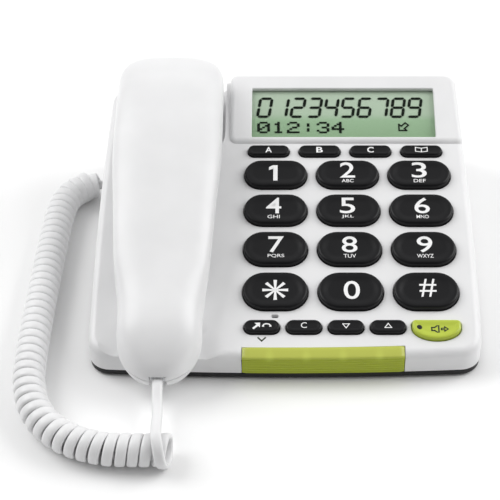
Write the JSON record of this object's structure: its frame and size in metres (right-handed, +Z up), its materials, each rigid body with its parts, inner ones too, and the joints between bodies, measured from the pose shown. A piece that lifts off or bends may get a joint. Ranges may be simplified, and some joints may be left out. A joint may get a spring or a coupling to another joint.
{
  "type": "corded desk telephone",
  "caption": "Corded desk telephone with large oval keys, a sloping display housing, a lit front strip and a handset lying in its cradle with a curly cord.",
  "frame": {"origin": "on the table, under the middle of the telephone without its cord", "axes": "+X to the user's right, +Y away from the user, +Z up"},
  "size_m": [0.2354, 0.2445, 0.0773],
  "materials": {
    "white_casing": "satin",
    "dark_casing": "fine texture",
    "black_key": "satin",
    "lime_key": "satin",
    "lime_translucent": "translucent, gloss",
    "clear_window": "clear, gloss",
    "display": "smooth",
    "circuit_board": "smooth",
    "rubber": "matte",
    "keypad_mat": "matte",
    "steel": "bright",
    "cord": "satin, flexible",
    "plug": "clear, gloss"
  },
  "bodies": {
    "base": {"base_top_shell": "white_casing", "base_bottom_shell": "dark_casing", "light_strip": "lime_translucent", "display_window": "clear_window", "lcd_module": "display", "keypad_mat": "keypad_mat", "circuit_board": "circuit_board", "base_microphone": "steel", "ring_light_board": "circuit_board", "base_loudspeaker": "dark_casing", "hook_switch": "dark_casing", "handset_jack_base": "dark_casing", "line_jack": "dark_casing", "base_plug": "plug", "cord_coil": "cord", "cord_strand": "cord", "cord_tail": "cord", "base_screw_1": "steel", "base_screw_2": "steel", "base_screw_3": "steel", "base_screw_4": "steel", "foot_1": "rubber", "foot_2": "rubber", "foot_3": "rubber", "foot_4": "rubber"},
    "handset": {"handset_upper_shell": "white_casing", "handset_lower_shell": "white_casing", "earpiece_speaker": "dark_casing", "handset_microphone": "steel", "handset_weight": "steel", "handset_jack": "dark_casing", "handset_screw_1": "steel", "handset_screw_2": "steel", "handset_plug": "plug"},
    "hook": {"hook_plunger": "white_casing"},
    "key_star_body": {"key_star": "black_key"},
    "key_0_body": {"key_0": "black_key"},
    "key_hash_body": {"key_hash": "black_key"},
    "key_7_body": {"key_7": "black_key"},
    "key_8_body": {"key_8": "black_key"},
    "key_9_body": {"key_9": "black_key"},
    "key_4_body": {"key_4": "black_key"},
    "key_5_body": {"key_5": "black_key"},
    "key_6_body": {"key_6": "black_key"},
    "key_1_body": {"key_1": "black_key"},
    "key_2_body": {"key_2": "black_key"},
    "key_3_body": {"key_3": "black_key"},
    "key_memory_1_body": {"key_memory_1": "black_key"},
    "key_memory_2_body": {"key_memory_2": "black_key"},
    "key_memory_3_body": {"key_memory_3": "black_key"},
    "key_phonebook_body": {"key_phonebook": "black_key"},
    "key_redial_body": {"key_redial": "black_key"},
    "key_clear_body": {"key_clear": "black_key"},
    "key_down_body": {"key_down": "black_key"},
    "key_up_body": {"key_up": "black_key"},
    "key_speaker_body": {"key_speaker": "lime_key"}
  },
  "joints": [
    {"name": "handset_lift", "type": "slide", "parent": "base", "child": "handset", "axis": [0, 0, 1], "range_m": [0, 0.1]},
    {"name": "hook_rise", "type": "slide", "parent": "base", "child": "hook", "axis": [0, -0.1994, 0.9799], "range_m": [0, 0.004]},
    {"name": "key_star_press", "type": "slide", "parent": "base", "child": "key_star_body", "axis": [0, -0.1994, 0.9799], "range_m": [-0.0018, 0], "stiffness_N_per_m": 350, "springref_m": 0.0005},
    {"name": "key_0_press", "type": "slide", "parent": "base", "child": "key_0_body", "axis": [0, -0.1994, 0.9799], "range_m": [-0.0018, 0], "stiffness_N_per_m": 350, "springref_m": 0.0005},
    {"name": "key_hash_press", "type": "slide", "parent": "base", "child": "key_hash_body", "axis": [0, -0.1994, 0.9799], "range_m": [-0.0018, 0], "stiffness_N_per_m": 350, "springref_m": 0.0005},
    {"name": "key_7_press", "type": "slide", "parent": "base", "child": "key_7_body", "axis": [0, -0.1994, 0.9799], "range_m": [-0.0018, 0], "stiffness_N_per_m": 350, "springref_m": 0.0005},
    {"name": "key_8_press", "type": "slide", "parent": "base", "child": "key_8_body", "axis": [0, -0.1994, 0.9799], "range_m": [-0.0018, 0], "stiffness_N_per_m": 350, "springref_m": 0.0005},
    {"name": "key_9_press", "type": "slide", "parent": "base", "child": "key_9_body", "axis": [0, -0.1994, 0.9799], "range_m": [-0.0018, 0], "stiffness_N_per_m": 350, "springref_m": 0.0005},
    {"name": "key_4_press", "type": "slide", "parent": "base", "child": "key_4_body", "axis": [0, -0.1994, 0.9799], "range_m": [-0.0018, 0], "stiffness_N_per_m": 350, "springref_m": 0.0005},
    {"name": "key_5_press", "type": "slide", "parent": "base", "child": "key_5_body", "axis": [0, -0.1994, 0.9799], "range_m": [-0.0018, 0], "stiffness_N_per_m": 350, "springref_m": 0.0005},
    {"name": "key_6_press", "type": "slide", "parent": "base", "child": "key_6_body", "axis": [0, -0.1994, 0.9799], "range_m": [-0.0018, 0], "stiffness_N_per_m": 350, "springref_m": 0.0005},
    {"name": "key_1_press", "type": "slide", "parent": "base", "child": "key_1_body", "axis": [0, -0.1994, 0.9799], "range_m": [-0.0018, 0], "stiffness_N_per_m": 350, "springref_m": 0.0005},
    {"name": "key_2_press", "type": "slide", "parent": "base", "child": "key_2_body", "axis": [0, -0.1994, 0.9799], "range_m": [-0.0018, 0], "stiffness_N_per_m": 350, "springref_m": 0.0005},
    {"name": "key_3_press", "type": "slide", "parent": "base", "child": "key_3_body", "axis": [0, -0.1994, 0.9799], "range_m": [-0.0018, 0], "stiffness_N_per_m": 350, "springref_m": 0.0005},
    {"name": "key_memory_1_press", "type": "slide", "parent": "base", "child": "key_memory_1_body", "axis": [0, -0.1994, 0.9799], "range_m": [-0.0018, 0], "stiffness_N_per_m": 350, "springref_m": 0.0005},
    {"name": "key_memory_2_press", "type": "slide", "parent": "base", "child": "key_memory_2_body", "axis": [0, -0.1994, 0.9799], "range_m": [-0.0018, 0], "stiffness_N_per_m": 350, "springref_m": 0.0005},
    {"name": "key_memory_3_press", "type": "slide", "parent": "base", "child": "key_memory_3_body", "axis": [0, -0.1994, 0.9799], "range_m": [-0.0018, 0], "stiffness_N_per_m": 350, "springref_m": 0.0005},
    {"name": "key_phonebook_press", "type": "slide", "parent": "base", "child": "key_phonebook_body", "axis": [0, -0.1994, 0.9799], "range_m": [-0.0018, 0], "stiffness_N_per_m": 350, "springref_m": 0.0005},
    {"name": "key_redial_press", "type": "slide", "parent": "base", "child": "key_redial_body", "axis": [0, -0.1994, 0.9799], "range_m": [-0.0018, 0], "stiffness_N_per_m": 350, "springref_m": 0.0005},
    {"name": "key_clear_press", "type": "slide", "parent": "base", "child": "key_clear_body", "axis": [0, -0.1994, 0.9799], "range_m": [-0.0018, 0], "stiffness_N_per_m": 350, "springref_m": 0.0005},
    {"name": "key_down_press", "type": "slide", "parent": "base", "child": "key_down_body", "axis": [0, -0.1994, 0.9799], "range_m": [-0.0018, 0], "stiffness_N_per_m": 350, "springref_m": 0.0005},
    {"name": "key_up_press", "type": "slide", "parent": "base", "child": "key_up_body", "axis": [0, -0.1994, 0.9799], "range_m": [-0.0018, 0], "stiffness_N_per_m": 350, "springref_m": 0.0005},
    {"name": "key_speaker_press", "type": "slide", "parent": "base", "child": "key_speaker_body", "axis": [0, -0.1994, 0.9799], "range_m": [-0.0018, 0], "stiffness_N_per_m": 350, "springref_m": 0.0005}
  ],
  "couplings": [
    {"joint": "hook_rise", "follows": "handset_lift", "ratio": 0.04}
  ]
}
